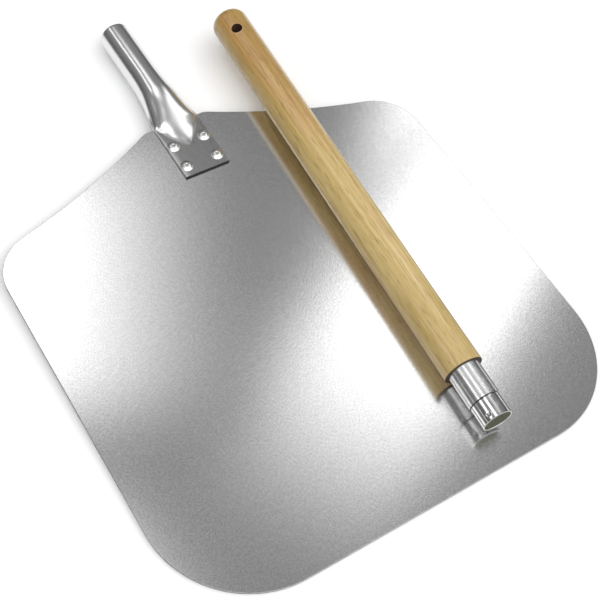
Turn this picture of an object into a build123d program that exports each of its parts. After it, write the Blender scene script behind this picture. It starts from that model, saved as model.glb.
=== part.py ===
from build123d import *
import os
from math import cos, radians, sin

# Pizza peel with a detachable handle, in millimetres.
# The blade lies in the XY plane with its underside at z = 0, and its centre line is the Y axis.
# The front edge faces -Y and the socket faces +Y.
# The origin is on the underside, half a blade width behind the front edge,
# where the centre of a pizza as wide as the blade would be.

# Blade: one flat sheet
BLADE_WIDTH = 355.6
BLADE_LENGTH = 365.0
BLADE_THICKNESS = 1.5
FRONT_CORNER_RADIUS = 75.0
BACK_CORNER_RADIUS = 37.0
BACK_CORNER_ANGLE = 76.0
BACK_CORNER_CENTRE_Y = 103.2
NECK_WIDTH = 62.6
NECK_CORNER_SETBACK = 2.4
NECK_CORNER_REACH = 6.0
NECK_CORNER_BULGE = 1.2
SHOULDER_HOLLOW = 3.4
EDGE_ROUNDING = 0.35

# Socket: one tube, flattened at the blade end
TUBE_RADIUS = 12.7
MOUTH_Y = 291.0
PLATE_THICKNESS = 1.8
PLATE_WIDTH = 38.4
PLATE_FRONT_Y = 133.5
PLATE_BACK_Y = 186.5
PLATE_EDGE_ROUNDING = 0.8
FLARE_TOP_START_Y = 160.0
FLARE_TOP_FULL_Y = 214.0
FLARE_TOP_POWER = 2.0
FLARE_WIDTH_START_Y = 180.0
FLARE_WIDTH_FULL_Y = 220.0
FLARE_BOTTOM_START_Y = 187.6
FLARE_BOTTOM_FULL_Y = 238.0
FLARE_BOTTOM_POWER = 1.5
FLARE_INSET = 0.12
FLARE_STATIONS = (160.0, 176.0, 187.0, 196.0, 206.0, 216.0, 228.0, 240.0)
THREAD_BORE_RADIUS = 12.2
THREAD_BORE_DEPTH = 27.0
PILOT_BORE_RADIUS = 11.6
PILOT_BORE_DEPTH = 53.0
CAVITY_STATIONS = (196.0, 206.0, 216.0, 228.0, 241.0)
CAVITY_WALL = 1.8
CAVITY_LEAST_HEIGHT = 0.25
BORE_OVERRUN = 1.0

# Rivets: domed head above, tail set flush below
RIVET_ROWS_Y = (143.3, 164.6)
RIVET_X = 13.25
RIVET_HEAD_RADIUS = 5.2
RIVET_HEAD_HEIGHT = 2.6
RIVET_HEAD_RIM = 0.5
RIVET_SHANK_RADIUS = 2.5
RIVET_TAIL_RADIUS = 3.6
RIVET_TAIL_DEPTH = 0.8

# Handle: turned dowel, lying on the blade beside the socket
GRIP_RADIUS = 15.0
GRIP_LENGTH = 368.0
GRIP_CROWN_RADIUS = 40.0
GRIP_END_ROUNDING = 9.0
GRIP_SHOULDER_ROUNDING = 0.5
TENON_RADIUS = 10.4
TENON_LENGTH = 42.4
HANG_HOLE_RADIUS = 4.5
HANG_HOLE_FROM_END = 26.8
HANG_HOLE_DRILL_LENGTH = 45.0
HANDLE_SHOULDER = (65.0, -109.7)
HANDLE_YAW = -3.23
HANDLE_ROLL = -16.6

# Ferrule: threaded sleeve with a smooth lead-in, over the tenon
FERRULE_CREST_RADIUS = 12.1
FERRULE_THREAD_LENGTH = 26.6
FERRULE_LEAD_RADIUS = 11.3
FERRULE_LEAD_LENGTH = 16.2
FERRULE_EDGE = 0.3

# Nails that pin the ferrule to the tenon
NAIL_ANGLES = (-23.0, -113.0)
NAIL_FROM_SHOULDER = 38.2
NAIL_SEAT_DEPTH = 0.4
NAIL_SHANK_RADIUS = 0.8
NAIL_LENGTH = 8.0
NAIL_HEAD_RADIUS = 1.5
NAIL_HEAD_THICKNESS = 0.4
DIMPLE_RADIUS = 2.1
DIMPLE_DEPTH = 0.5


def ease(value, start, end):
    """A smooth step from 0 at start to 1 at end."""
    t = min(max((value - start) / (end - start), 0.0), 1.0)
    return t * t * (3 - 2 * t)


def blade_outline():
    """Right half of the outline, from the front edge's centre to the neck's, then its mirror image."""
    half = BLADE_WIDTH / 2
    front = -half
    neck = front + BLADE_LENGTH
    corner_x = half - BACK_CORNER_RADIUS
    turn = radians(BACK_CORNER_ANGLE)
    corner_end = Vector(
        corner_x + BACK_CORNER_RADIUS * cos(turn),
        BACK_CORNER_CENTRE_Y + BACK_CORNER_RADIUS * sin(turn),
    )
    neck_corner = Vector(NECK_WIDTH / 2, neck - NECK_CORNER_SETBACK)
    chord = neck_corner - corner_end
    inward = Vector(-chord.Y, chord.X).normalized()
    hollow = (corner_end + neck_corner) * 0.5 + inward * SHOULDER_HOLLOW
    neck_start = Vector(neck_corner.X - NECK_CORNER_REACH, neck)
    round_the_corner = neck_start - neck_corner + Vector(0, NECK_CORNER_BULGE)
    path = [
        Line((0, front), (half - FRONT_CORNER_RADIUS, front)),
        CenterArc(
            (half - FRONT_CORNER_RADIUS, front + FRONT_CORNER_RADIUS),
            FRONT_CORNER_RADIUS,
            -90,
            90,
        ),
        Line((half, front + FRONT_CORNER_RADIUS), (half, BACK_CORNER_CENTRE_Y)),
        CenterArc(
            (corner_x, BACK_CORNER_CENTRE_Y), BACK_CORNER_RADIUS, 0, BACK_CORNER_ANGLE
        ),
        ThreePointArc(corner_end, hollow, neck_corner),
        TangentArc(neck_corner, neck_start, tangent=round_the_corner),
        Line(neck_start, (0, neck)),
    ]
    right = Wire(path)
    left = mirror(right, about=Plane.YZ)
    return make_face(right.edges() + left.edges())


def blade():
    """The sheet, with its sharp edges eased all round."""
    sheet = extrude(blade_outline(), BLADE_THICKNESS)
    rims = sheet.edges().filter_by(Plane.XY)
    return fillet(rims, EDGE_ROUNDING)


def flare_section(y, side, above, below):
    """A closed section in the XZ plane at y: half an ellipse above the plate's middle, half below."""
    middle = BLADE_THICKNESS + PLATE_THICKNESS / 2
    plane = Plane(origin=(0, y, middle), x_dir=(1, 0, 0), z_dir=(0, -1, 0))
    upper = EllipticalCenterArc((0, 0), side, above, start_angle=0, arc_size=180)
    lower = EllipticalCenterArc((0, 0), side, below, start_angle=180, arc_size=180)
    return plane * make_face(Wire([upper, lower]))


def flare_sizes(y):
    """Half width, height above and depth below the plate's middle at y."""
    flat = PLATE_THICKNESS / 2 - FLARE_INSET
    edge = PLATE_WIDTH / 2 - FLARE_INSET
    width = ease(y, FLARE_WIDTH_START_Y, FLARE_WIDTH_FULL_Y)
    top = ease(y, FLARE_TOP_START_Y, FLARE_TOP_FULL_Y) ** FLARE_TOP_POWER
    bottom = ease(y, FLARE_BOTTOM_START_Y, FLARE_BOTTOM_FULL_Y) ** FLARE_BOTTOM_POWER
    side = edge + (TUBE_RADIUS - edge) * width
    above = flat + (TUBE_RADIUS - flat) * top
    below = flat + (TUBE_RADIUS - flat) * bottom
    return side, above, below


def bore(radius, depth):
    """A round bar on the tube's axis, from past the mouth to that depth inside it."""
    axis_z = BLADE_THICKNESS + PLATE_THICKNESS / 2
    plane = Plane(origin=(0, MOUTH_Y + BORE_OVERRUN, axis_z), x_dir=(1, 0, 0), z_dir=(0, -1, 0))
    bar = Cylinder(radius, depth + BORE_OVERRUN, align=(Align.CENTER, Align.CENTER, Align.MIN))
    return plane * bar


def socket():
    """Riveted plate, flare and round tube in one piece, open at the mouth."""
    plate = Pos(0, (PLATE_FRONT_Y + PLATE_BACK_Y) / 2, BLADE_THICKNESS + PLATE_THICKNESS / 2) * Box(
        PLATE_WIDTH, PLATE_BACK_Y - PLATE_FRONT_Y, PLATE_THICKNESS
    )
    plate = fillet(plate.edges().filter_by(Axis.Y), PLATE_EDGE_ROUNDING)
    flare = loft([flare_section(y, *flare_sizes(y)) for y in FLARE_STATIONS])
    round_end = flare.faces().sort_by(Axis.Y)[-1]
    tube = extrude(round_end, MOUTH_Y - FLARE_STATIONS[-1])
    body = flare + tube + plate
    body -= cavity()
    body -= bore(PILOT_BORE_RADIUS, PILOT_BORE_DEPTH)
    return body - bore(THREAD_BORE_RADIUS, THREAD_BORE_DEPTH)


def cavity():
    """The hollow inside the flare, from the pilot bore to where the walls come together."""
    sections = []
    for y in CAVITY_STATIONS:
        side, above, below = flare_sizes(y)
        depth = max(below - CAVITY_WALL, CAVITY_LEAST_HEIGHT)
        sections.append(flare_section(y, side - CAVITY_WALL, above - CAVITY_WALL, depth))
    return loft(sections)


def rivet(x, y):
    """Domed head on the plate, shank through plate and blade, tail spread flush with the underside."""
    top = BLADE_THICKNESS + PLATE_THICKNESS
    dome = RIVET_HEAD_HEIGHT - RIVET_HEAD_RIM
    dome_radius = (RIVET_HEAD_RADIUS**2 + dome**2) / (2 * dome)
    dome_centre = top + RIVET_HEAD_HEIGHT - dome_radius
    halfway = RIVET_HEAD_RADIUS / 2
    outline = [
        Line((0, 0), (RIVET_TAIL_RADIUS, 0)),
        Line((RIVET_TAIL_RADIUS, 0), (RIVET_SHANK_RADIUS, RIVET_TAIL_DEPTH)),
        Line((RIVET_SHANK_RADIUS, RIVET_TAIL_DEPTH), (RIVET_SHANK_RADIUS, top)),
        Line((RIVET_SHANK_RADIUS, top), (RIVET_HEAD_RADIUS, top)),
        Line((RIVET_HEAD_RADIUS, top), (RIVET_HEAD_RADIUS, top + RIVET_HEAD_RIM)),
        ThreePointArc(
            (RIVET_HEAD_RADIUS, top + RIVET_HEAD_RIM),
            (halfway, dome_centre + (dome_radius**2 - halfway**2) ** 0.5),
            (0, top + RIVET_HEAD_HEIGHT),
        ),
        Line((0, top + RIVET_HEAD_HEIGHT), (0, 0)),
    ]
    profile = Plane.XZ * make_face(Wire(outline))
    return Pos(x, y, 0) * revolve(profile, Axis.Z)


def rivets():
    """Two rows of two, named by row and side."""
    placed = {}
    for row, y in zip(("front", "back"), RIVET_ROWS_Y):
        for side, x in (("left", -RIVET_X), ("right", RIVET_X)):
            placed[f"rivet_{row}_{side}"] = rivet(x, y)
    return placed


def grip():
    """Dowel with a crowned end, a shoulder, a tenon for the ferrule and a hole to hang it by."""
    drop = GRIP_CROWN_RADIUS - (GRIP_CROWN_RADIUS**2 - GRIP_RADIUS**2) ** 0.5
    half_drop = GRIP_CROWN_RADIUS - (GRIP_CROWN_RADIUS**2 - (GRIP_RADIUS / 2) ** 2) ** 0.5
    edges = [
        Line((0, -TENON_LENGTH), (TENON_RADIUS, -TENON_LENGTH)),
        Line((TENON_RADIUS, -TENON_LENGTH), (TENON_RADIUS, 0)),
        Line((TENON_RADIUS, 0), (GRIP_RADIUS, 0)),
        Line((GRIP_RADIUS, 0), (GRIP_RADIUS, GRIP_LENGTH - drop)),
        ThreePointArc(
            (GRIP_RADIUS, GRIP_LENGTH - drop),
            (GRIP_RADIUS / 2, GRIP_LENGTH - half_drop),
            (0, GRIP_LENGTH),
        ),
        Line((0, GRIP_LENGTH), (0, -TENON_LENGTH)),
    ]
    profile = make_face(Wire(edges))
    outer = profile.vertices().group_by(Axis.X)[-1].sort_by(Axis.Y)
    profile = fillet(outer[-1], GRIP_END_ROUNDING)
    outer = profile.vertices().group_by(Axis.X)[-1].sort_by(Axis.Y)
    profile = fillet(outer[0], GRIP_SHOULDER_ROUNDING)
    dowel = revolve(profile, Axis.Y)
    drill = Cylinder(HANG_HOLE_RADIUS, HANG_HOLE_DRILL_LENGTH)
    hole = Pos(0, GRIP_LENGTH - HANG_HOLE_FROM_END, 0) * drill
    return dowel - hole


def ferrule():
    """Sleeve from the shoulder to its open end: thread outside first, then the smooth lead-in."""
    thread_end = -FERRULE_THREAD_LENGTH
    end = thread_end - FERRULE_LEAD_LENGTH
    points = [
        (TENON_RADIUS, 0),
        (FERRULE_CREST_RADIUS, 0),
        (FERRULE_CREST_RADIUS, thread_end + FERRULE_EDGE),
        (FERRULE_CREST_RADIUS - FERRULE_EDGE, thread_end),
        (FERRULE_LEAD_RADIUS, thread_end),
        (FERRULE_LEAD_RADIUS, end + FERRULE_EDGE),
        (FERRULE_LEAD_RADIUS - FERRULE_EDGE, end),
        (TENON_RADIUS, end),
    ]
    return revolve(make_face(Polyline(*points, close=True)), Axis.Y)


def nail(angle):
    """A short nail driven in towards the axis, its head at the bottom of a punched dimple."""
    seat = FERRULE_LEAD_RADIUS - NAIL_SEAT_DEPTH
    head = Pos(0, 0, seat) * Cylinder(
        NAIL_HEAD_RADIUS, NAIL_HEAD_THICKNESS, align=(Align.CENTER, Align.CENTER, Align.MAX)
    )
    shank = Pos(0, 0, seat) * Cylinder(
        NAIL_SHANK_RADIUS, NAIL_LENGTH, align=(Align.CENTER, Align.CENTER, Align.MAX)
    )
    return Rot(0, angle, 0) * Pos(0, -NAIL_FROM_SHOULDER, 0) * (head + shank)


def dimple(angle):
    """The dish pressed into the lead-in around a nail's head."""
    sphere_radius = (DIMPLE_RADIUS**2 + DIMPLE_DEPTH**2) / (2 * DIMPLE_DEPTH)
    dish = Pos(0, 0, FERRULE_LEAD_RADIUS - DIMPLE_DEPTH + sphere_radius) * Sphere(sphere_radius)
    return Rot(0, angle, 0) * Pos(0, -NAIL_FROM_SHOULDER, 0) * dish


def handle():
    """The handle's pieces where they lie, with the dowel's side on the blade."""
    wood = grip()
    sleeve = ferrule()
    nails = {}
    for number, angle in enumerate(NAIL_ANGLES, start=1):
        pin = nail(angle) - dimple(angle)
        wood -= nail(angle)
        sleeve -= nail(angle)
        sleeve -= dimple(angle)
        nails[f"ferrule_nail_{number}"] = pin
    place = Pos(*HANDLE_SHOULDER, BLADE_THICKNESS + GRIP_RADIUS)
    place = place * Rot(0, 0, HANDLE_YAW) * Rot(0, HANDLE_ROLL, 0)
    pieces = {"handle_grip": wood, "ferrule": sleeve, **nails}
    return {name: place * piece for name, piece in pieces.items()}


def peel():
    """Every piece by name."""
    fasteners = rivets()
    sheet = blade()
    tube = socket()
    for fastener in fasteners.values():
        sheet -= fastener
        tube -= fastener
    return {"blade": sheet, "socket": tube, **fasteners, **handle()}


os.makedirs("parts", exist_ok=True)
for name, shape in peel().items():
    export_step(shape, f"parts/{name}.step")
    print(name, round(shape.volume, 1), shape.bounding_box().size)
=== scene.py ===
# %% [markdown]
# # A pizza peel with its handle laid on the blade
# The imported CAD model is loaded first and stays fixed. The blade, the wooden grip and the nails keep their
# CAD meshes and get better finishes. The tube socket, the rivets and the threaded ferrule are made again
# here as finer surfaces, because their creases, threads and dished heads are what the eye looks for.

# %% Load the fixed frame
from math import cos, pi, radians, sin, tau

import bpy
import numpy as np
from mathutils import Matrix, Vector


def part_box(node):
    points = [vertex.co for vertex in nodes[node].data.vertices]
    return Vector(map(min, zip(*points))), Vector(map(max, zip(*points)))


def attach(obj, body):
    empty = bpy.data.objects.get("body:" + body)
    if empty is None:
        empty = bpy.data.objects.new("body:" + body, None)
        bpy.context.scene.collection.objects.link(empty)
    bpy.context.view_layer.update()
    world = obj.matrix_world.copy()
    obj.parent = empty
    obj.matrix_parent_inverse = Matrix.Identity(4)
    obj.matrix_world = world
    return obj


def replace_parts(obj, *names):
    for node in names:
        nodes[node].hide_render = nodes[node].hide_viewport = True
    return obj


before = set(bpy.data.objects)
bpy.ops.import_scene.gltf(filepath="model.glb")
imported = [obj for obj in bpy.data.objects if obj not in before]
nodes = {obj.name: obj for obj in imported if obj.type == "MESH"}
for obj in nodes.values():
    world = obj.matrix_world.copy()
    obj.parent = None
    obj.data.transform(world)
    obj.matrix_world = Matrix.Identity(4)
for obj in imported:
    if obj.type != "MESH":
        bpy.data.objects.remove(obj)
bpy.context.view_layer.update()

MM = 0.001

# %% [markdown]
# ## The camera
# The camera looks down on the peel from in front and to the left, and it is rolled a little, as a hand-held
# camera is. It is placed by an azimuth, an elevation and a distance from a point on the blade. Its three axes
# are worked out as vectors, which is easier to follow than a chain of turns.

# %% Camera
CAMERA_AZIMUTH = radians(-41.76)
CAMERA_ELEVATION = radians(56.83)
CAMERA_ROLL = radians(11.85)
CAMERA_DISTANCE = 0.81967
CAMERA_LENS = 68.07
CAMERA_TARGET = Vector((0.0015, 0.0005, 0.0))


def camera_axes(azimuth, elevation, roll):
    """Right, up and backward vectors: backward comes first, and the roll turns the other two about it."""
    backward = Vector((sin(azimuth) * cos(elevation), -cos(azimuth) * cos(elevation), sin(elevation)))
    level_right = (-backward).cross(Vector((0, 0, 1))).normalized()
    level_up = level_right.cross(-backward)
    right = cos(roll) * level_right + sin(roll) * level_up
    up = -sin(roll) * level_right + cos(roll) * level_up
    return right, up, backward


right, up, backward = camera_axes(CAMERA_AZIMUTH, CAMERA_ELEVATION, CAMERA_ROLL)
camera_data = bpy.data.cameras.new("camera")
camera_data.lens = CAMERA_LENS
camera_data.clip_start = 0.01
camera = bpy.data.objects.new("camera", camera_data)
camera.matrix_world = Matrix.Translation(CAMERA_TARGET + backward * CAMERA_DISTANCE) @ Matrix(
    (right, up, backward)
).transposed().to_4x4()
bpy.context.scene.collection.objects.link(camera)
bpy.context.scene.camera = camera
print("camera at", [round(v, 3) for v in camera.matrix_world.translation])

# %% [markdown]
# ## Shader maths as Python
# A material is a graph of nodes. Writing `a * 0.5 + b` is shorter and clearer than making two Math nodes and
# three links, so a small class wraps a socket and turns Python's operators into Math nodes. Everything that
# isn't arithmetic on single values goes through one method that takes a node's type, settings and sockets.


# %% Values and materials
class Value:
    """A single number that changes over a surface. Arithmetic on it adds Math nodes to its material."""

    def __init__(self, paint, socket):
        self.paint = paint
        self.socket = socket

    def math(self, operation, *others):
        return self.paint.node("ShaderNodeMath", {"operation": operation}, dict(enumerate((self, *others))))

    def __add__(self, other):
        return self.math("ADD", other)

    def __sub__(self, other):
        return self.math("SUBTRACT", other)

    def __mul__(self, other):
        return self.math("MULTIPLY", other)

    def __pow__(self, other):
        return self.math("POWER", other)

    def __rsub__(self, other):
        return self.paint.node("ShaderNodeMath", {"operation": "SUBTRACT"}, {0: other, 1: self})

    __radd__ = __add__
    __rmul__ = __mul__

    def step(self, start, end):
        """A smooth rise from 0 at start to 1 at end."""
        settings = {"interpolation_type": "SMOOTHSTEP", "clamp": True}
        inputs = {"Value": self, "From Min": start, "From Max": end}
        return self.paint.node("ShaderNodeMapRange", settings, inputs, "Result")


class Paint:
    """One material with a Principled shader, and the methods that add nodes to it."""

    def __init__(self, name):
        self.material = bpy.data.materials.new(name)
        self.material.use_nodes = True
        self.tree = self.material.node_tree
        self.shader = self.tree.nodes["Principled BSDF"]
        self.place = self.node("ShaderNodeTexCoord", output="Object")

    def fill(self, node, inputs):
        """Sets each named socket to a number or a colour, or links a Value into it."""
        for name, what in inputs.items():
            if isinstance(what, Value):
                self.tree.links.new(what.socket, node.inputs[name])
            else:
                node.inputs[name].default_value = what

    def node(self, kind, settings=None, inputs=None, output=0):
        """Adds a node of that type: its settings first, then its sockets. Gives back one of its outputs."""
        node = self.tree.nodes.new(kind)
        for name, setting in (settings or {}).items():
            setattr(node, name, setting)
        self.fill(node, inputs or {})
        return Value(self, node.outputs[output])

    def noise(self, scale, detail=2.0, stretch=(1, 1, 1), place=None, rough=0.5):
        """Smooth random values from 0 to 1, with about `scale` lumps to the metre before stretching."""
        where = self.node("ShaderNodeMapping", None, {"Vector": place or self.place, "Scale": stretch})
        inputs = {"Vector": where, "Scale": scale, "Detail": detail, "Roughness": rough}
        return self.node("ShaderNodeTexNoise", None, inputs, "Fac")

    def part(self, place, axis):
        """One coordinate of a place: "X", "Y" or "Z"."""
        return self.node("ShaderNodeSeparateXYZ", None, {"Vector": place}, axis)

    def blend(self, amount, first, second, how="MIX"):
        """Two colours mixed: the first where the amount is 0, the second where it is 1."""
        settings = {"data_type": "RGBA", "blend_type": how}
        return self.node("ShaderNodeMix", settings, {"Factor": amount, 6: first, 7: second}, 2)

    def bump(self, height, distance, strength=1.0, under=None):
        """A relief of that height, in metres, over another relief if one is given."""
        inputs = {"Height": height, "Distance": distance, "Strength": strength}
        if under is not None:
            inputs["Normal"] = under
        return self.node("ShaderNodeBump", None, inputs)

    def finish(self, **inputs):
        """Sets the shader's sockets, named with underscores for spaces."""
        self.fill(self.shader, {name.replace("_", " "): what for name, what in inputs.items()})
        print("finish", self.material.name, "uses", len(self.tree.nodes), "nodes")
        return self.material


def grey(level, warm=0.0):
    """A grey colour of that brightness, a little warmer if asked."""
    return (level * (1 + warm), level, level * (1 - warm), 1.0)


# %% [markdown]
# ## The blade's finish
# The blade is rolled aluminium sheet with a satin, slightly pebbled face. It mirrors the lamps above it, but
# blurred. Blur comes from roughness, and the pebbles are a relief about a millimetre across. A mottle of the
# same size moves the colour a little, which is what makes the face sparkle faintly. The sheet's sheared edge
# was never rolled, so it is rougher. All round the blade it is also painted as a thin near-black line:
# painted shade for the edge's contact shadow and the dark it mirrors. Such a line is drawn by a smooth step
# from one height to another, in metres, as Object coordinates are.


# %% Blade aluminium
EDGE_SHADE_TOP = (0.00144, 0.00149)
EDGE_SHADE_BOTTOM = (0.00003, 0.00012)
PEBBLE_HEIGHT = 0.00005


def blade_aluminium():
    """Satin metal: a mottle and a pebbled relief about a millimetre across, and slow clouds of haze."""
    paint = Paint("blade_aluminium")
    pebbles = paint.noise(900, detail=3.0, rough=0.65)
    mottle = paint.noise(880, detail=2.0, rough=0.6).step(0.34, 0.66)
    specks = paint.noise(1900, detail=2.0, rough=0.7)
    clouds = paint.noise(9, detail=2.0)
    height = paint.part(paint.place, "Z")
    # The side faces between these heights are painted near black: painted shade along the blade's edge, for
    # its contact shadow and dark reflection.
    painted_edge_shade = (1 - height.step(*EDGE_SHADE_TOP)) * height.step(*EDGE_SHADE_BOTTOM)
    roughness = 0.13 + 0.02 * clouds + 0.06 * specks + 0.30 * painted_edge_shade
    colour = paint.blend(mottle, grey(0.755), grey(0.878))
    colour = paint.blend(painted_edge_shade, colour, grey(0.10))
    relief = paint.bump(pebbles + 0.5 * specks, PEBBLE_HEIGHT, 0.45)
    return paint.finish(Metallic=1.0, Roughness=roughness, Base_Color=colour, Normal=relief)


def wear(node, material):
    """Gives a CAD node a finish in place of its plain one."""
    nodes[node].data.materials.clear()
    nodes[node].data.materials.append(material)


wear("blade", blade_aluminium())

# %% [markdown]
# ## Surfaces from formulas
# Each new piece is a grid of points worked out by numpy as whole arrays, with one row for each ring along
# the piece and one column for each step round it. One function turns such a grid into a mesh. Rings join up
# round the piece, and a fan of triangles closes each end.


# %% From a grid to a mesh
CREASE_ANGLE = radians(32)


def ringed(name, rings, body, material, closed_path=False):
    """Joins a (rows, columns, 3) grid of points, in millimetres, into a closed mesh in metres.

    Neighbouring points make four-sided faces and the last column joins the first. The end rows are closed
    by fans to their middles, or joined to each other if the path along the rows is itself closed.
    """
    rows, columns, _ = rings.shape
    index = np.arange(rows * columns).reshape(rows, columns)
    after = np.roll(index, -1, axis=1)
    below, above = (index, np.roll(index, -1, axis=0)) if closed_path else (index[:-1], index[1:])
    below_after, above_after = np.roll(below, -1, axis=1), np.roll(above, -1, axis=1)
    faces = np.stack((below, below_after, above_after, above), axis=-1).reshape(-1, 4).tolist()
    points = rings.reshape(-1, 3)
    if not closed_path:
        points = np.vstack((points, rings[0].mean(axis=0), rings[-1].mean(axis=0)))
        first = np.full(columns, rows * columns)
        faces += np.stack((first, after[0], index[0]), axis=-1).tolist()
        faces += np.stack((first + 1, index[-1], after[-1]), axis=-1).tolist()
    mesh = bpy.data.meshes.new(name)
    mesh.from_pydata((points * MM).tolist(), [], faces)
    mesh.validate()
    if signed_volume(mesh) < 0:
        mesh.flip_normals()
    mesh.shade_smooth()
    mesh.set_sharp_from_angle(angle=CREASE_ANGLE)
    mesh.materials.append(material)
    piece = bpy.data.objects.new(name, mesh)
    bpy.context.scene.collection.objects.link(piece)
    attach(piece, body)
    print(name, "has", len(mesh.polygons), "faces")
    return piece


def signed_volume(mesh):
    """The volume inside a closed mesh. It is negative if the faces look inwards."""
    mesh.calc_loop_triangles()
    corners = np.empty(len(mesh.loop_triangles) * 3, np.int32)
    mesh.loop_triangles.foreach_get("vertices", corners)
    points = np.empty(len(mesh.vertices) * 3, np.float32)
    mesh.vertices.foreach_get("co", points)
    a, b, c = points.reshape(-1, 3).astype(float)[corners.reshape(-1, 3)].transpose(1, 0, 2)
    return float(np.einsum("ij,ij->i", a, np.cross(b, c)).sum() / 6)


def ease(value, start, end):
    """A smooth step: t squared times (3 - 2t), where t runs from 0 at start to 1 at end."""
    t = np.clip((value - start) / (end - start), 0.0, 1.0)
    return t * t * (3 - 2 * t)


# %% [markdown]
# ## The tube socket's shape
# The socket is one length of 1 inch tube. One end is pressed flat into a plate that lies on the blade, and
# the round end takes the handle. Pressing folds the metal: a rounded ridge rises out of the flat plate along
# a crease shaped like an arch. The crease has to be crisp, so it runs along a column of the grid. Behind the
# plate the sides draw in along a hollow curve until the tube is round. Inside the mouth the tube carries the
# thread that the ferrule screws into.

# %% Socket sizes in millimetres
TUBE_RADIUS = 12.7
MID_Z = 2.4
HALF_PLATE = 0.9
PLATE_HALF_WIDTH = 19.2
PLATE_FRONT_Y = 133.5
PLATE_BACK_Y = 187.0
RIDGE_START_Y = 160.0
RIDGE_FULL_Y = 218.0
UNDERSIDE_START_Y = 187.6
UNDERSIDE_FULL_Y = 238.0
ELLIPSE_FROM_Y = 216.0
ROUND_FROM_Y = 242.0
MOUTH_Y = 291.0
ROUND_COLUMNS = 96
COLUMNS_BEFORE_X = 4
CREASE_Y = (160.0, 162.0, 165.5, 169.5, 174.0, 178.5, 182.0, 185.0, 187.0)
CREASE_X = (0.5, 0.7, 3.6, 7.0, 10.6, 13.5, 16.1, 17.8, 18.2)


def tube_half_width(y):
    """Half the width at y: the plate's, then narrowing along a power curve to the round tube's.

    With t from 1 at the plate's back to 0 where the tube is round, it is radius + spread x t to the 1.8.
    """
    to_go = np.clip((ROUND_FROM_Y - y) / (ROUND_FROM_Y - PLATE_BACK_Y), 0, 1)
    return TUBE_RADIUS + (PLATE_HALF_WIDTH - TUBE_RADIUS) * to_go**1.8


def top_height(y):
    """How far the top is above the plate's middle at y: it grows nearly as a smooth step."""
    return HALF_PLATE + (TUBE_RADIUS - HALF_PLATE) * ease(y, RIDGE_START_Y, RIDGE_FULL_Y) ** 0.95


def bottom_depth(y):
    """How far the bottom is below the plate's middle at y: it stays on the blade as far as the neck."""
    return HALF_PLATE + (TUBE_RADIUS - HALF_PLATE) * ease(y, UNDERSIDE_START_Y, UNDERSIDE_FULL_Y) ** 1.5


def pressed_section(y):
    """The flattened tube's outline at each y, as (rows, columns, 3).

    From the right-hand edge it goes over the top and back underneath. The top is a flat margin, the ridge
    and a flat margin. With s from -1 to 1 across the ridge and k the crease's share of the half width, the
    ridge's height is its rise times (sqrt(1 - k2 s2) - sqrt(1 - k2)) / (1 - sqrt(1 - k2)), where k2 is k
    squared: a parabola where it starts and nearly half an ellipse at the plate's end.
    """
    y = y[:, None]
    half = tube_half_width(y)
    crease = np.minimum(np.interp(y, CREASE_Y, CREASE_X), half - HALF_PLATE - 0.1)
    rise = top_height(y) - HALF_PLATE
    edge_turn = np.linspace(-pi / 2, pi / 2, 7)
    right_edge = half - HALF_PLATE + HALF_PLATE * np.cos(edge_turn)
    edge_z = HALF_PLATE * np.sin(edge_turn) + 0 * y
    margin = np.linspace(0, 1, 5)[1:-1]
    right_margin = (half - HALF_PLATE) * (1 - margin) + crease * margin
    across = np.cos(np.linspace(0, pi, 37))
    k2 = np.clip(crease / half, 0, 0.995) ** 2
    ridge = (np.sqrt(1 - k2 * across**2) - np.sqrt(1 - k2)) / (1 - np.sqrt(1 - k2))
    under = np.linspace(-1, 1, 41)[1:-1]
    flat = HALF_PLATE + 0 * right_margin
    x = (right_edge, right_margin, crease * across, -right_margin[:, ::-1], -right_edge[:, ::-1])
    x += ((half - HALF_PLATE) * under,)
    z = (edge_z, flat, HALF_PLATE + rise * ridge, flat, edge_z[:, ::-1], -HALF_PLATE + 0 * y + 0 * under)
    x, z = np.hstack(x), np.hstack(z)
    return np.stack((x, y + 0 * x, z + MID_Z), axis=-1)


def ring_angles():
    """The angle of each column round the tube. The first few lie before +X, as the plate's edge does."""
    return np.arange(-COLUMNS_BEFORE_X, ROUND_COLUMNS - COLUMNS_BEFORE_X) * tau / ROUND_COLUMNS


def ellipse_section(y):
    """The rounded tube's outline at each y: half an ellipse above the middle and half below it."""
    y = y[:, None]
    angle = ring_angles()
    x = tube_half_width(y) * np.cos(angle)
    tall = np.where(np.sin(angle) > 0, top_height(y), bottom_depth(y))
    return np.stack((x, y + 0 * x, tall * np.sin(angle) + MID_Z), axis=-1)


def round_rings(radius, y):
    """Rings of those radii at those y, on the tube's axis. Either may change round the ring."""
    angle = ring_angles()
    radius, y = np.broadcast_arrays(radius, y, np.zeros(ROUND_COLUMNS))[:2]
    return np.stack((radius * np.cos(angle), y, radius * np.sin(angle) + MID_Z), axis=-1)


THREAD_PITCH = 1.0
GROOVE_HALF_WIDTH = 0.24


def helix_depth(y, angle):
    """A fine thread's depth, 0 on its broad crests and 1 in its narrow grooves.

    With t the distance from the nearest groove, in turns, and g a groove's half width in turns, the depth is
    (1 - t / g) squared, and 0 where t is more than g.
    """
    turns = y / THREAD_PITCH - angle / tau
    from_groove = np.abs(turns - np.round(turns))
    return np.clip(1 - from_groove / GROOVE_HALF_WIDTH, 0, None) ** 2


# %% [markdown]
# ### The outside and inside as one skin
# The outline starts at the plate's cut front edge, where the two pressed walls leave a thin dark seam. It
# runs back over plate, ridge and tube to the mouth, turns over the lip, goes down the thread and the plain
# bore, and closes in the hollow of the flare. One skin that closes on itself has no loose edges.


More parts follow.
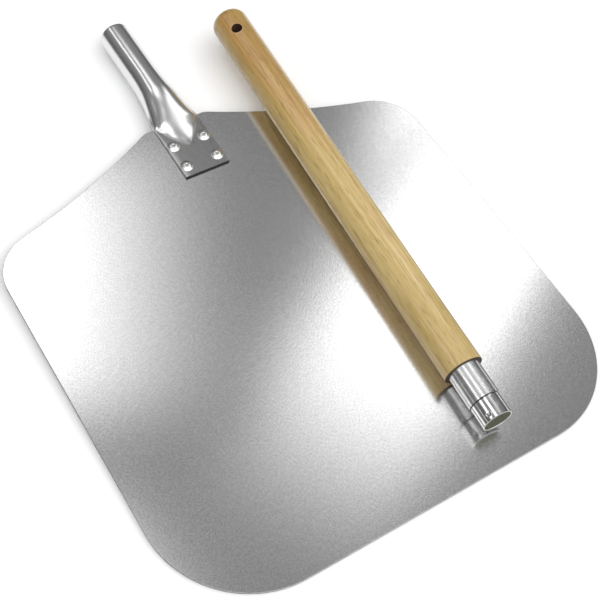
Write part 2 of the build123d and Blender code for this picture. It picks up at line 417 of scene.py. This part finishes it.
# %% Socket skin
FRONT_EDGE_WIDTH_SHARE, FRONT_EDGE_HEIGHT_SHARE = 0.995, 0.86
SEAM_WIDTH_SHARE = 0.955
SEAM_HALF_GAPS = (0.05, 0.30, 0.42)
SEAM_DEPTHS = (5.0, 2.5, 0.0)
LIP_RADII = (12.62, 12.5, 12.3)
LIP_Y = (290.9, MOUTH_Y, MOUTH_Y)
THREAD_BORE_RADIUS = 12.2
INSIDE_THREAD_DEPTH = 0.45
THREAD_FOOT_Y, THREAD_TOP_Y = 264.0, 290.75
PILOT_BORE_RADIUS = 11.6
WALL = 1.8


def outside_rings():
    """The outer skin from the plate's front edge to the mouth, turning from the pressed outline to round."""
    plate_y = np.array([PLATE_FRONT_Y, PLATE_FRONT_Y + 0.15, 140.0, 150.0, 156.0, RIDGE_START_Y])
    flare_y = np.arange(RIDGE_START_Y + 1, ROUND_FROM_Y + 1, 1.0)
    tube_y = np.array([246.0, 256.0, 266.0, 276.0, 286.0, 289.0, 290.7])
    y = np.concatenate((plate_y, flare_y, tube_y))
    turned_round = ease(y, PLATE_BACK_Y, ELLIPSE_FROM_Y)[:, None, None]
    outside = pressed_section(y) * (1 - turned_round) + ellipse_section(y) * turned_round
    outside[0, :, 0] *= FRONT_EDGE_WIDTH_SHARE
    outside[0, :, 2] = MID_Z + (outside[0, :, 2] - MID_Z) * FRONT_EDGE_HEIGHT_SHARE
    return outside


def seam_rings(front):
    """The thin slot that the two pressed walls leave between them, from its inner end outwards."""
    seam = np.stack((front, front, front))
    seam[:, :, 0] *= SEAM_WIDTH_SHARE
    seam[:, :, 1] += np.array(SEAM_DEPTHS)[:, None]
    seam[:, :, 2] = MID_Z + np.sign(seam[:, :, 2] - MID_Z) * np.array(SEAM_HALF_GAPS)[:, None]
    return seam


def mouth_rings():
    """The lip, the thread just inside it and the plain bore beyond."""
    lip = round_rings(np.array(LIP_RADII)[:, None], np.array(LIP_Y)[:, None])
    y = np.arange(THREAD_TOP_Y, THREAD_FOOT_Y, -THREAD_PITCH / 8)[:, None]
    fade = ease(y, 264.2, 265.6) * (1 - ease(y, 289.6, 290.6))
    thread = round_rings(THREAD_BORE_RADIUS - INSIDE_THREAD_DEPTH * fade * helix_depth(y, ring_angles()), y)
    bore = round_rings(PILOT_BORE_RADIUS, np.array([263.6, 258.0, 250.0, 242.0, 238.5])[:, None])
    return np.concatenate((lip, thread, bore))


def hollow_rings(least_height=0.2):
    """The hollow of the flare: the outer skin's ellipses made smaller by one wall all round."""
    y = np.array([232.0, 226.0, 220.0, 214.0, 208.0, 202.0, 197.0])
    hollow = ellipse_section(y)
    hollow[:, :, 0] *= ((tube_half_width(y) - WALL) / tube_half_width(y))[:, None]
    above = np.maximum(top_height(y) - WALL, least_height) / top_height(y)
    beneath = np.maximum(bottom_depth(y) - WALL, least_height) / bottom_depth(y)
    rise = hollow[:, :, 2] - MID_Z
    hollow[:, :, 2] = MID_Z + rise * np.where(rise > 0, above[:, None], beneath[:, None])
    return hollow


def socket_rings():
    """All the socket's rings, from the seam in its front edge to the hollow's inner end."""
    outside = outside_rings()
    return np.concatenate((seam_rings(outside[0]), outside, mouth_rings(), hollow_rings()))


# %% [markdown]
# ## Drawn and pressed aluminium
# The tube is brighter than the blade, because drawing it through a die polishes it. The die leaves fine lines
# along the tube, so a noise that is stretched along Y moves both the relief and the roughness. The press
# leaves the flat plate duller than the tube. Its sawn front edge is rough, and it is painted nearly black:
# painted shade for the gap and contact shadow under the plate's front edge.


# %% Tube aluminium
FRONT_EDGE_SHADE = ((PLATE_FRONT_Y + 0.15) * MM, (PLATE_FRONT_Y + 0.40) * MM)
PLATE_TOP_FROM = (0.0030, 0.0032)
PLATE_TOP_TO = (0.0034, 0.0039)
PLATE_END = (0.180, 0.190)


def tube_aluminium():
    """Semi-bright metal with fine lines along Y and a slight unevenness from the press."""
    paint = Paint("tube_aluminium")
    lines = paint.noise(2600, detail=2.0, stretch=(1, 0.02, 1))
    waves = paint.noise(60, detail=2.0, stretch=(1, 0.4, 1))
    specks = paint.noise(3000, detail=1.0)
    roughness = 0.15 + 0.09 * lines + 0.06 * waves
    colour = paint.blend(specks, grey(0.70), grey(0.90))
    along, height = paint.part(paint.place, "Y"), paint.part(paint.place, "Z")
    on_top = height.step(*PLATE_TOP_FROM) * (1 - height.step(*PLATE_TOP_TO))
    pressed = (1 - along.step(*PLATE_END)) * on_top
    colour = paint.blend(pressed, colour, paint.blend(specks, grey(0.36), grey(0.48)))
    # Painted shade: the plate's cut front edge is painted nearly black for the gap and contact shadow beneath
    # it.
    painted_front_shade = 1 - along.step(*FRONT_EDGE_SHADE)
    colour = paint.blend(painted_front_shade, colour, grey(0.03))
    relief = paint.bump(waves, 0.0002, 0.5)
    relief = paint.bump(lines + 0.6 * specks, 0.00001, 0.5, under=relief)
    roughness = roughness + 0.35 * painted_front_shade + 0.06 * pressed
    return paint.finish(Metallic=1.0, Roughness=roughness, Base_Color=colour, Normal=relief)


socket = ringed("tube_socket", socket_rings(), "peel", tube_aluminium())
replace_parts(socket, "socket")

# %% [markdown]
# ## The rivets
# Each rivet is a soft aluminium pin whose head was formed by a dished tool. The tool leaves a low flange
# round the head and a small round mark on its top. A rivet is a solid of revolution: a profile of radius and
# height, turned about a vertical axis.

# %% Rivets
RIVET_ROWS_Y = {"front": 143.3, "back": 164.6}
RIVET_SIDES_X = {"left": -13.25, "right": 13.25}
RIVET_PROFILE = (
    (0.4, 0.12), (2.4, 0.05), (3.5, 0.0), (3.6, 0.05), (2.5, 0.8), (2.5, 3.28), (5.0, 3.3), (5.2, 3.42),
    (5.2, 3.62), (5.05, 3.78), (4.7, 3.9), (4.3, 4.04), (4.0, 4.3), (3.7, 4.62), (3.3, 4.92), (2.8, 5.16),
    (2.2, 5.34), (1.6, 5.45), (1.3, 5.47), (1.1, 5.4), (0.95, 5.28), (0.7, 5.22), (0.3, 5.2),
)


def turned_about_z(profile, x, y, columns=48):
    """Rings from (radius, height) pairs: each point goes round the upright axis through (x, y)."""
    radius, height = np.array(profile).T[:, :, None]
    angle = np.arange(columns) * tau / columns
    return np.stack((x + radius * np.cos(angle), y + radius * np.sin(angle), height + 0 * angle), axis=-1)


def rivet_aluminium():
    """Polished metal, a little uneven where the tool struck it."""
    paint = Paint("rivet_aluminium")
    dents = paint.noise(700, detail=2.0)
    haze = paint.noise(2500, detail=2.0)
    relief = paint.bump(dents, 0.00003, 0.5)
    colour = paint.blend(haze, grey(0.60), grey(0.74))
    return paint.finish(Metallic=1.0, Roughness=0.24 + 0.12 * haze, Base_Color=colour, Normal=relief)


rivet_finish = rivet_aluminium()
for row, y in RIVET_ROWS_Y.items():
    for side, x in RIVET_SIDES_X.items():
        node = f"rivet_{row}_{side}"
        rings = turned_about_z(RIVET_PROFILE, x, y)
        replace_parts(ringed("formed_" + node, rings, "peel", rivet_finish), node)

# %% [markdown]
# ## Where the handle lies
# The handle rests on the blade with its axis level, turned a few degrees from the blade's centre line and
# rolled so that the hang hole leans. Its pieces are worked out in the handle's own frame, with Y along the
# axis and the wooden shoulder at zero, and then carried to where the handle lies.

# %% The handle's own frame
SHOULDER_MM = Vector((65.0, -109.7, 16.5))
HANDLE_YAW = radians(-3.23)
HANDLE_ROLL = radians(-16.6)
handle_turn = Matrix.Rotation(HANDLE_YAW, 3, "Z") @ Matrix.Rotation(HANDLE_ROLL, 3, "Y")


def on_handle(points):
    """Points in the handle's own frame, turned by its roll and yaw and moved to its shoulder."""
    return points @ np.array(handle_turn).T + np.array(SHOULDER_MM)


def handle_place(paint):
    """Coordinates in the handle's own frame for a material, in metres: the same move, undone."""
    back = handle_turn.transposed()
    offset = -(back @ (SHOULDER_MM * MM))
    inputs = {"Vector": paint.place, "Location": offset, "Rotation": back.to_euler("XYZ")}
    return paint.node("ShaderNodeMapping", {"vector_type": "POINT"}, inputs)


# %% [markdown]
# ## The ferrule
# The ferrule is an aluminium sleeve. A fine thread covers the part next to the wood, and beyond a small step
# a plain lead-in guides it into the socket. The thread is a real helix here: the radius at each point depends
# on how far along the sleeve it is and how far round, so the crests climb one pitch in each turn. Each nail
# sits in a small round dish, and the dish is taken off the radius in the same way.

# %% Ferrule sizes in millimetres
FERRULE_END_Y = -42.8
THREAD_END_Y = -26.6
CREST_RADIUS = 12.1
THREAD_DEPTH = 0.16
LEAD_RADIUS = 11.3
BORE_RADIUS = 10.41
NAIL_Y = -38.2
NAIL_TURNS = (radians(-23.0), radians(-113.0))
DISH_RADIUS = 2.3
DISH_DEPTH = 0.5
FERRULE_COLUMNS = 160


def ferrule_rings():
    """The sleeve's skin: out over the thread, down the step, along the lead-in and back up the bore.

    Radius = profile radius - thread depth x helix x fade - dish depth x (1 - (r / dish radius) squared),
    where r is the distance over the surface from the nearest nail, and the last term is never negative.
    """
    angle = np.arange(FERRULE_COLUMNS) * tau / FERRULE_COLUMNS
    thread_y = np.arange(-0.4, THREAD_END_Y + 0.35, -THREAD_PITCH / 12)
    dish_y = np.arange(-35.4, -41.0, -0.3)
    lead_y = np.concatenate(([-26.7, -26.9, -27.6, -30.0, -33.0], dish_y, [-41.6, -42.3]))
    outer_y = np.concatenate(([0.0], thread_y, [-26.35, -26.6], lead_y, [-42.62, -42.78, FERRULE_END_Y]))
    radius = np.where(outer_y >= -26.5, CREST_RADIUS, LEAD_RADIUS)
    radius[outer_y == THREAD_END_Y] = CREST_RADIUS - 0.35
    radius[np.isclose(outer_y, -26.7)] = LEAD_RADIUS - 0.12
    radius[-3:] = LEAD_RADIUS - 0.02, LEAD_RADIUS - 0.14, LEAD_RADIUS - 0.32
    y = outer_y[:, None] + 0 * angle
    fade = ease(-y, 0.2, 1.2) * (1 - ease(-y, 25.2, 26.2))
    radius = radius[:, None] - THREAD_DEPTH * fade * helix_depth(y, angle)
    for turn in NAIL_TURNS:
        # The nail points along +Z turned about Y, so its angle from +X is a quarter turn less that turn.
        away = (angle - (pi / 2 - turn) + pi) % tau - pi
        near = ((away * LEAD_RADIUS) ** 2 + (y - NAIL_Y) ** 2) / DISH_RADIUS**2
        radius = radius - DISH_DEPTH * np.clip(1 - near, 0, None) ** 1.5
    bore_y = np.array([-42.78, -42.4, -30.0, -15.0, 0.0])[:, None] + 0 * angle
    bore_radius = BORE_RADIUS + np.array([0.11, 0.0, 0.0, 0.0, 0.0])[:, None] + 0 * angle
    radius, y = np.vstack((radius, bore_radius)), np.vstack((y, bore_y))
    return on_handle(np.stack((radius * np.cos(angle), y, radius * np.sin(angle)), axis=-1))


# %% Ferrule aluminium
GROOVE_TO_CREST = (0.01196, 0.01208)
THREAD_FADES = (-0.0268, -0.0262)
STEP_SHADE_BAND = ((-0.0272, -0.0269), (-0.0265, -0.0262))
CUT_END = (-0.0427, -0.0425)


def ferrule_aluminium():
    """Bright machined metal: tool lines, dull patches, and painted shade in the grooves and along the step.
    """
    paint = Paint("ferrule_aluminium")
    place = handle_place(paint)
    x, y, z = (paint.part(place, axis) for axis in "XYZ")
    from_axis = (x * x + z * z) ** 0.5
    rounds = paint.noise(3500, detail=1.0, stretch=(0.05, 1, 0.05), place=place)
    rubbed = paint.noise(160, detail=3.0, place=place)
    roughness = 0.12 + 0.08 * rounds + 0.10 * rubbed.step(0.45, 0.75)
    colour = paint.blend(rubbed, grey(0.74), grey(0.88))
    groove_shade = (1 - from_axis.step(*GROOVE_TO_CREST)) * y.step(*THREAD_FADES)
    step_shade = y.step(*STEP_SHADE_BAND[0]) * (1 - y.step(*STEP_SHADE_BAND[1]))
    cut_end = 1 - y.step(*CUT_END)
    # Painted shade: the thread's grooves and the step between thread and lead-in are painted nearly black.
    colour = paint.blend(0.85 * groove_shade, colour, grey(0.06))
    colour = paint.blend(0.9 * step_shade, colour, grey(0.04))
    colour = paint.blend(cut_end, colour, grey(0.40))
    roughness = roughness + 0.20 * cut_end
    relief = paint.bump(rounds, 0.00001, 0.4)
    return paint.finish(Metallic=1.0, Roughness=roughness, Base_Color=colour, Normal=relief)


bright = ferrule_aluminium()
ferrule = ringed("threaded_ferrule", ferrule_rings(), "handle", bright, closed_path=True)
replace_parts(ferrule, "ferrule")

# %% [markdown]
# ## The nails' finish
# The nails are plain steel. Their heads were struck by a punch, so they are darker and rougher than the
# sleeve around them.


# %% Nail steel
def nail_steel():
    """Grey steel with small dents and darker specks."""
    paint = Paint("nail_steel")
    dents = paint.noise(1800, detail=3.0)
    colour = paint.blend(dents.step(0.35, 0.7), grey(0.10, 0.03), grey(0.24))
    relief = paint.bump(dents, 0.00008, 0.7)
    return paint.finish(Metallic=1.0, Roughness=0.35 + 0.2 * dents, Base_Color=colour, Normal=relief)


nail_finish = nail_steel()
wear("ferrule_nail_1", nail_finish)
wear("ferrule_nail_2", nail_finish)

# %% [markdown]
# ## The wood
# The dowel is turned from a pale hardwood and lacquered. A tree's growth rings are nested cylinders, so the
# pattern starts from the distance to a long axis outside the dowel, bent by a slow noise. On the dowel's side
# that distance draws long bands, and on its domed end it draws arcs, as a real dowel shows both. Short dark
# pores and paler and pinker streaks lie along the grain. The shoulder, the cut end inside the ferrule and the
# hang hole are bare wood, and they are painted much darker: painted shade on the shoulder, which faces away
# from the lamps, inside the hang hole, and on the cut end deep in the sleeve, over that end's olive stain.


# %% Dowel wood
HANG_HOLE_Y = 0.3412
HANG_HOLE_RADIUS = 0.0045
HEART_X, HEART_Z = -0.031, 0.022
RING_SPACING = 0.0042
STRAW_DARK, STRAW_PALE = (0.472, 0.335, 0.110, 1), (0.628, 0.482, 0.202, 1)
PINK_STREAK, BROWN_STREAK = (0.560, 0.290, 0.140, 1), (0.400, 0.215, 0.070, 1)
RING_BROWN, FIBRE_CREAM = (0.350, 0.205, 0.055, 1), (0.740, 0.590, 0.280, 1)
PORE_BROWN, DOME_TINT = (0.200, 0.115, 0.035, 1), (0.74, 0.66, 0.47, 1)
# The hang hole's, the tenon end's and the shoulder's colours are painted shade; the tenon end's olive is also
# its stain.
RIM_CREAM, HOLE_SHADE = (0.720, 0.560, 0.330, 1), (0.060, 0.026, 0.012, 1)
END_STAIN_SHADE_DARK, END_STAIN_SHADE_OLIVE = (0.018, 0.018, 0.006, 1), (0.062, 0.064, 0.020, 1)
SHOULDER_SHADE = (0.030, 0.017, 0.008, 1)


def growth_rings(paint, place):
    """Waves from 0 to 1 in the distance from the tree's heart, which lies outside the dowel and sways."""
    x, y, z = (paint.part(place, axis) for axis in "XYZ")
    sway = paint.noise(18, detail=2.0, stretch=(1, 0.18, 1), place=place)
    off_x = x - HEART_X + 0.012 * (sway - 0.5)
    off_z = z - HEART_Z + 0.010 * (sway - 0.5)
    from_heart = (off_x * off_x + off_z * off_z) ** 0.5 + 0.006 * y
    return (from_heart * (tau / RING_SPACING)).math("SINE") * 0.5 + 0.5


def end_shade_and_masks(paint, place):
    """The painted shade of the shoulder and of the tenon's olive-stained end, and masks of these, of the hang
    hole and of its rim.
    """
    x, y = paint.part(place, "X"), paint.part(place, "Y")
    from_hole = (x * x + (y - HANG_HOLE_Y) * (y - HANG_HOLE_Y)) ** 0.5
    hole_rim = 1 - from_hole.step(HANG_HOLE_RADIUS + 0.0004, HANG_HOLE_RADIUS + 0.0009)
    in_hole = 1 - from_hole.step(HANG_HOLE_RADIUS + 0.00005, HANG_HOLE_RADIUS + 0.0002)
    raw_shaded_end = 1 - y.step(0.0001, 0.0005)
    grain = paint.noise(700, detail=3.0, place=place)
    # Painted shade below the shoulder: the tenon end inside the sleeve, over its olive stain, and the
    # shoulder face.
    stain_and_shade = paint.blend(grain.step(0.3, 0.7), END_STAIN_SHADE_DARK, END_STAIN_SHADE_OLIVE)
    stain_and_shade = paint.blend(y.step(-0.030, -0.020), stain_and_shade, SHOULDER_SHADE)
    return stain_and_shade, raw_shaded_end, in_hole, hole_rim


def dowel_wood():
    """Growth rings, streaks, pores and a lacquer, all in the handle's own frame."""
    paint = Paint("dowel_wood")
    place = handle_place(paint)
    rings = growth_rings(paint, place)
    fibres = paint.noise(900, detail=3.0, stretch=(1, 0.035, 1), place=place)
    streaks = paint.noise(150, detail=3.0, stretch=(1, 0.05, 1), place=place)
    pink = paint.noise(60, detail=2.0, stretch=(1, 0.08, 1), place=place)
    patches = paint.noise(42, detail=2.0, stretch=(1, 0.16, 1), place=place)
    pores = paint.noise(1500, detail=1.0, stretch=(1, 0.05, 1), place=place).step(0.58, 0.68)
    colour = paint.blend(patches.step(0.30, 0.70), STRAW_DARK, STRAW_PALE)
    colour = paint.blend(0.55 * pink.step(0.50, 0.72), colour, PINK_STREAK)
    colour = paint.blend(0.60 * streaks.step(0.52, 0.78), colour, BROWN_STREAK)
    colour = paint.blend(0.50 * rings * fibres.step(0.2, 0.8), colour, RING_BROWN)
    colour = paint.blend(0.50 * fibres.step(0.45, 0.75), colour, FIBRE_CREAM)
    colour = paint.blend(0.48 * pores, colour, PORE_BROWN)
    colour = paint.blend(paint.part(place, "Y").step(0.03, 0.36), colour, DOME_TINT, how="MULTIPLY")
    stain_and_shade, raw_shaded_end, in_hole, hole_rim = end_shade_and_masks(paint, place)
    colour = paint.blend(0.4 * hole_rim, colour, RIM_CREAM)
    # Painted shade: inside the hang hole, and on the shoulder and the tenon end.
    colour = paint.blend(in_hole, colour, HOLE_SHADE)
    colour = paint.blend(raw_shaded_end, colour, stain_and_shade)
    bare = (raw_shaded_end + in_hole).math("MINIMUM", 1.0)
    roughness = 0.40 + 0.12 * fibres + 0.15 * pores + 0.25 * bare
    relief = paint.bump(fibres - 0.8 * pores + 0.4 * rings, 0.00006, 0.5)
    coat = {"Coat_Weight": 0.8 * (1 - bare), "Coat_Roughness": 0.14}
    return paint.finish(Base_Color=colour, Roughness=roughness, Normal=relief, **coat)


wear("handle_grip", dowel_wood())

# %% [markdown]
# ## The floor
# The peel lies on a pale table. The socket hangs lower than the blade behind the neck, so a real peel rests
# on its front edge and on the tube, and the blade tips by about a degree. The object stays square to its own
# axes here, so the floor takes the tip instead: a plane through the front edge and just under the tube.


# %% Floor
TUBE_TOUCHES_Y = 0.240
FLOOR_CLEARANCE = 0.0001


def floor_plane(size=8.0, middle=(0.0, 0.1)):
    """A square plane whose height falls evenly from 0 at the blade's front edge to the tube's underside."""
    front_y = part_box("blade")[0].y
    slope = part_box("socket")[0].z / (TUBE_TOUCHES_Y - front_y)
    corner = np.array([(-1, -1), (1, -1), (1, 1), (-1, 1)]) * size / 2 + np.array(middle)
    height = slope * (corner[:, 1] - front_y) - FLOOR_CLEARANCE
    mesh = bpy.data.meshes.new("floor")
    mesh.from_pydata(np.column_stack((corner, height)).tolist(), [], [(0, 1, 2, 3)])
    paint = Paint("pale_table")
    colour = paint.blend(paint.noise(30, detail=3.0), grey(0.93), grey(0.945))
    mesh.materials.append(paint.finish(Base_Color=colour, Roughness=0.6, Specular_IOR_Level=0.2))
    floor = bpy.data.objects.new("floor", mesh)
    bpy.context.scene.collection.objects.link(floor)
    return slope


print("floor slope in degrees:", round(np.degrees(np.arctan(floor_plane())), 2))

# %% [markdown]
# ## Studio light
# Bare metal shows what is around it, so lighting it means choosing what it mirrors. Large soft panels hang
# over the far side of the peel, where the camera sees them mirrored in the blade: one at the left and two
# that fan out at the right. A smaller one at the front left brightens that corner, one far out at the side
# whitens the ferrule round its nail, and a long narrow one far back draws the streak down the tube. The gaps
# between them mirror as mid grey. A real softbox is dimmer towards its edges, so each panel's light fades
# there, by a share of its size chosen for each edge.


# %% Lamps
def soft_panel(name, middle, size, turn_deg, radiance, fades):
    """A level lamp facing down, turned in plan, that fades towards its left, right, near and far edges."""
    light = bpy.data.lights.new(name, "AREA")
    light.shape = "RECTANGLE"
    light.size, light.size_y = size
    light.energy = pi * size[0] * size[1]
    light.use_nodes = True
    tree = light.node_tree
    emission = tree.nodes["Emission"]
    split = tree.nodes.new("ShaderNodeSeparateXYZ")
    tree.links.new(tree.nodes.new("ShaderNodeNewGeometry").outputs["Parametric"], split.inputs["Vector"])
    strength = None
    for output, fade, from_end in zip("XXYY", fades, (0, 1, 0, 1)):
        ramp = tree.nodes.new("ShaderNodeMapRange")
        ramp.interpolation_type = "SMOOTHSTEP"
        ramp.inputs["From Min"].default_value = from_end
        ramp.inputs["From Max"].default_value = abs(from_end - fade)
        tree.links.new(split.outputs[output], ramp.inputs["Value"])
        product = tree.nodes.new("ShaderNodeMath")
        product.operation = "MULTIPLY"
        product.inputs[1].default_value = radiance
        tree.links.new(ramp.outputs["Result"], product.inputs[0])
        if strength is not None:
            tree.links.new(strength, product.inputs[1])
        strength = product.outputs[0]
    tree.links.new(strength, emission.inputs["Strength"])
    lamp = bpy.data.objects.new(name, light)
    lamp.matrix_world = Matrix.Translation(middle) @ Matrix.Rotation(radians(turn_deg), 4, "Z")
    lamp.visible_camera = False
    bpy.context.scene.collection.objects.link(lamp)
    print(name, "of", size, "m")


soft_panel("lamp_left", (0.105, 0.73, 1.0), (0.66, 0.64), -27.0, 2.0, (0.2, 0.85, 0.15, 0.15))
soft_panel("lamp_right_low", (0.658, 0.410, 1.0), (1.26, 0.38), 28.0, 1.8, (0.50, 0.05, 0.14, 0.3))
soft_panel("lamp_front_left", (-0.18, 0.16, 1.0), (0.36, 0.36), 0.0, 2.2, (0.15, 0.40, 0.15, 0.2))
soft_panel("lamp_side", (-1.20, 0.48, 1.0), (0.80, 0.52), 0.0, 2.2, (0.2, 0.15, 0.2, 0.25))
soft_panel("lamp_tube", (-0.42, 1.20, 1.0), (0.20, 0.80), 0.0, 2.2, (0.3, 0.3, 0.1, 0.1))
soft_panel("lamp_right_high", (0.83, 0.58, 1.0), (1.15, 0.42), 45.0, 2.1, (0.38, 0.05, 0.3, 0.33))

# %% [markdown]
# ### The room
# The room behind the camera has a white ceiling, which lights the table evenly and keeps shadows soft, and
# duller walls. The far side is darker, and darkest near the horizon, so that the tube and the blade have
# something grey to mirror. Smooth steps on the direction's Y and Z mix the four tones.


# %% Room tones
ROOM_NEAR_LOW, ROOM_NEAR_HIGH = 0.45, 2.6
ROOM_FAR_LOW, ROOM_FAR_HIGH = 0.10, 0.22


def sky_step(tree, socket, start, end):
    """A smooth rise from 0 to 1 between two values of a direction's part."""
    ramp = tree.nodes.new("ShaderNodeMapRange")
    ramp.interpolation_type = "SMOOTHSTEP"
    ramp.inputs["From Min"].default_value = start
    ramp.inputs["From Max"].default_value = end
    tree.links.new(socket, ramp.inputs["Value"])
    return ramp.outputs["Result"]


def sky_mix(tree, amount, first, second):
    """Two tones mixed by that amount; each is a number or a socket."""
    mix = tree.nodes.new("ShaderNodeMix")
    tree.links.new(amount, mix.inputs["Factor"])
    for name, tone in (("A", first), ("B", second)):
        if isinstance(tone, float):
            mix.inputs[name].default_value = tone
        else:
            tree.links.new(tone, mix.inputs[name])
    return mix.outputs["Result"]


world = bpy.data.worlds.new("studio")
bpy.context.scene.world = world
world.use_nodes = True
room = world.node_tree
split = room.nodes.new("ShaderNodeSeparateXYZ")
room.links.new(room.nodes.new("ShaderNodeTexCoord").outputs["Generated"], split.inputs["Vector"])
far_tone = sky_mix(room, sky_step(room, split.outputs["Z"], 0.15, 0.60), ROOM_FAR_LOW, ROOM_FAR_HIGH)
near_tone = sky_mix(room, sky_step(room, split.outputs["Z"], 0.28, 0.72), ROOM_NEAR_LOW, ROOM_NEAR_HIGH)
tone = sky_mix(room, sky_step(room, split.outputs["Y"], -0.25, 0.02), near_tone, far_tone)
room.links.new(tone, room.nodes["Background"].inputs["Strength"])
room.nodes["Background"].inputs["Color"].default_value = (1, 1, 1, 1)
bpy.context.scene.view_settings.view_transform = "Standard"
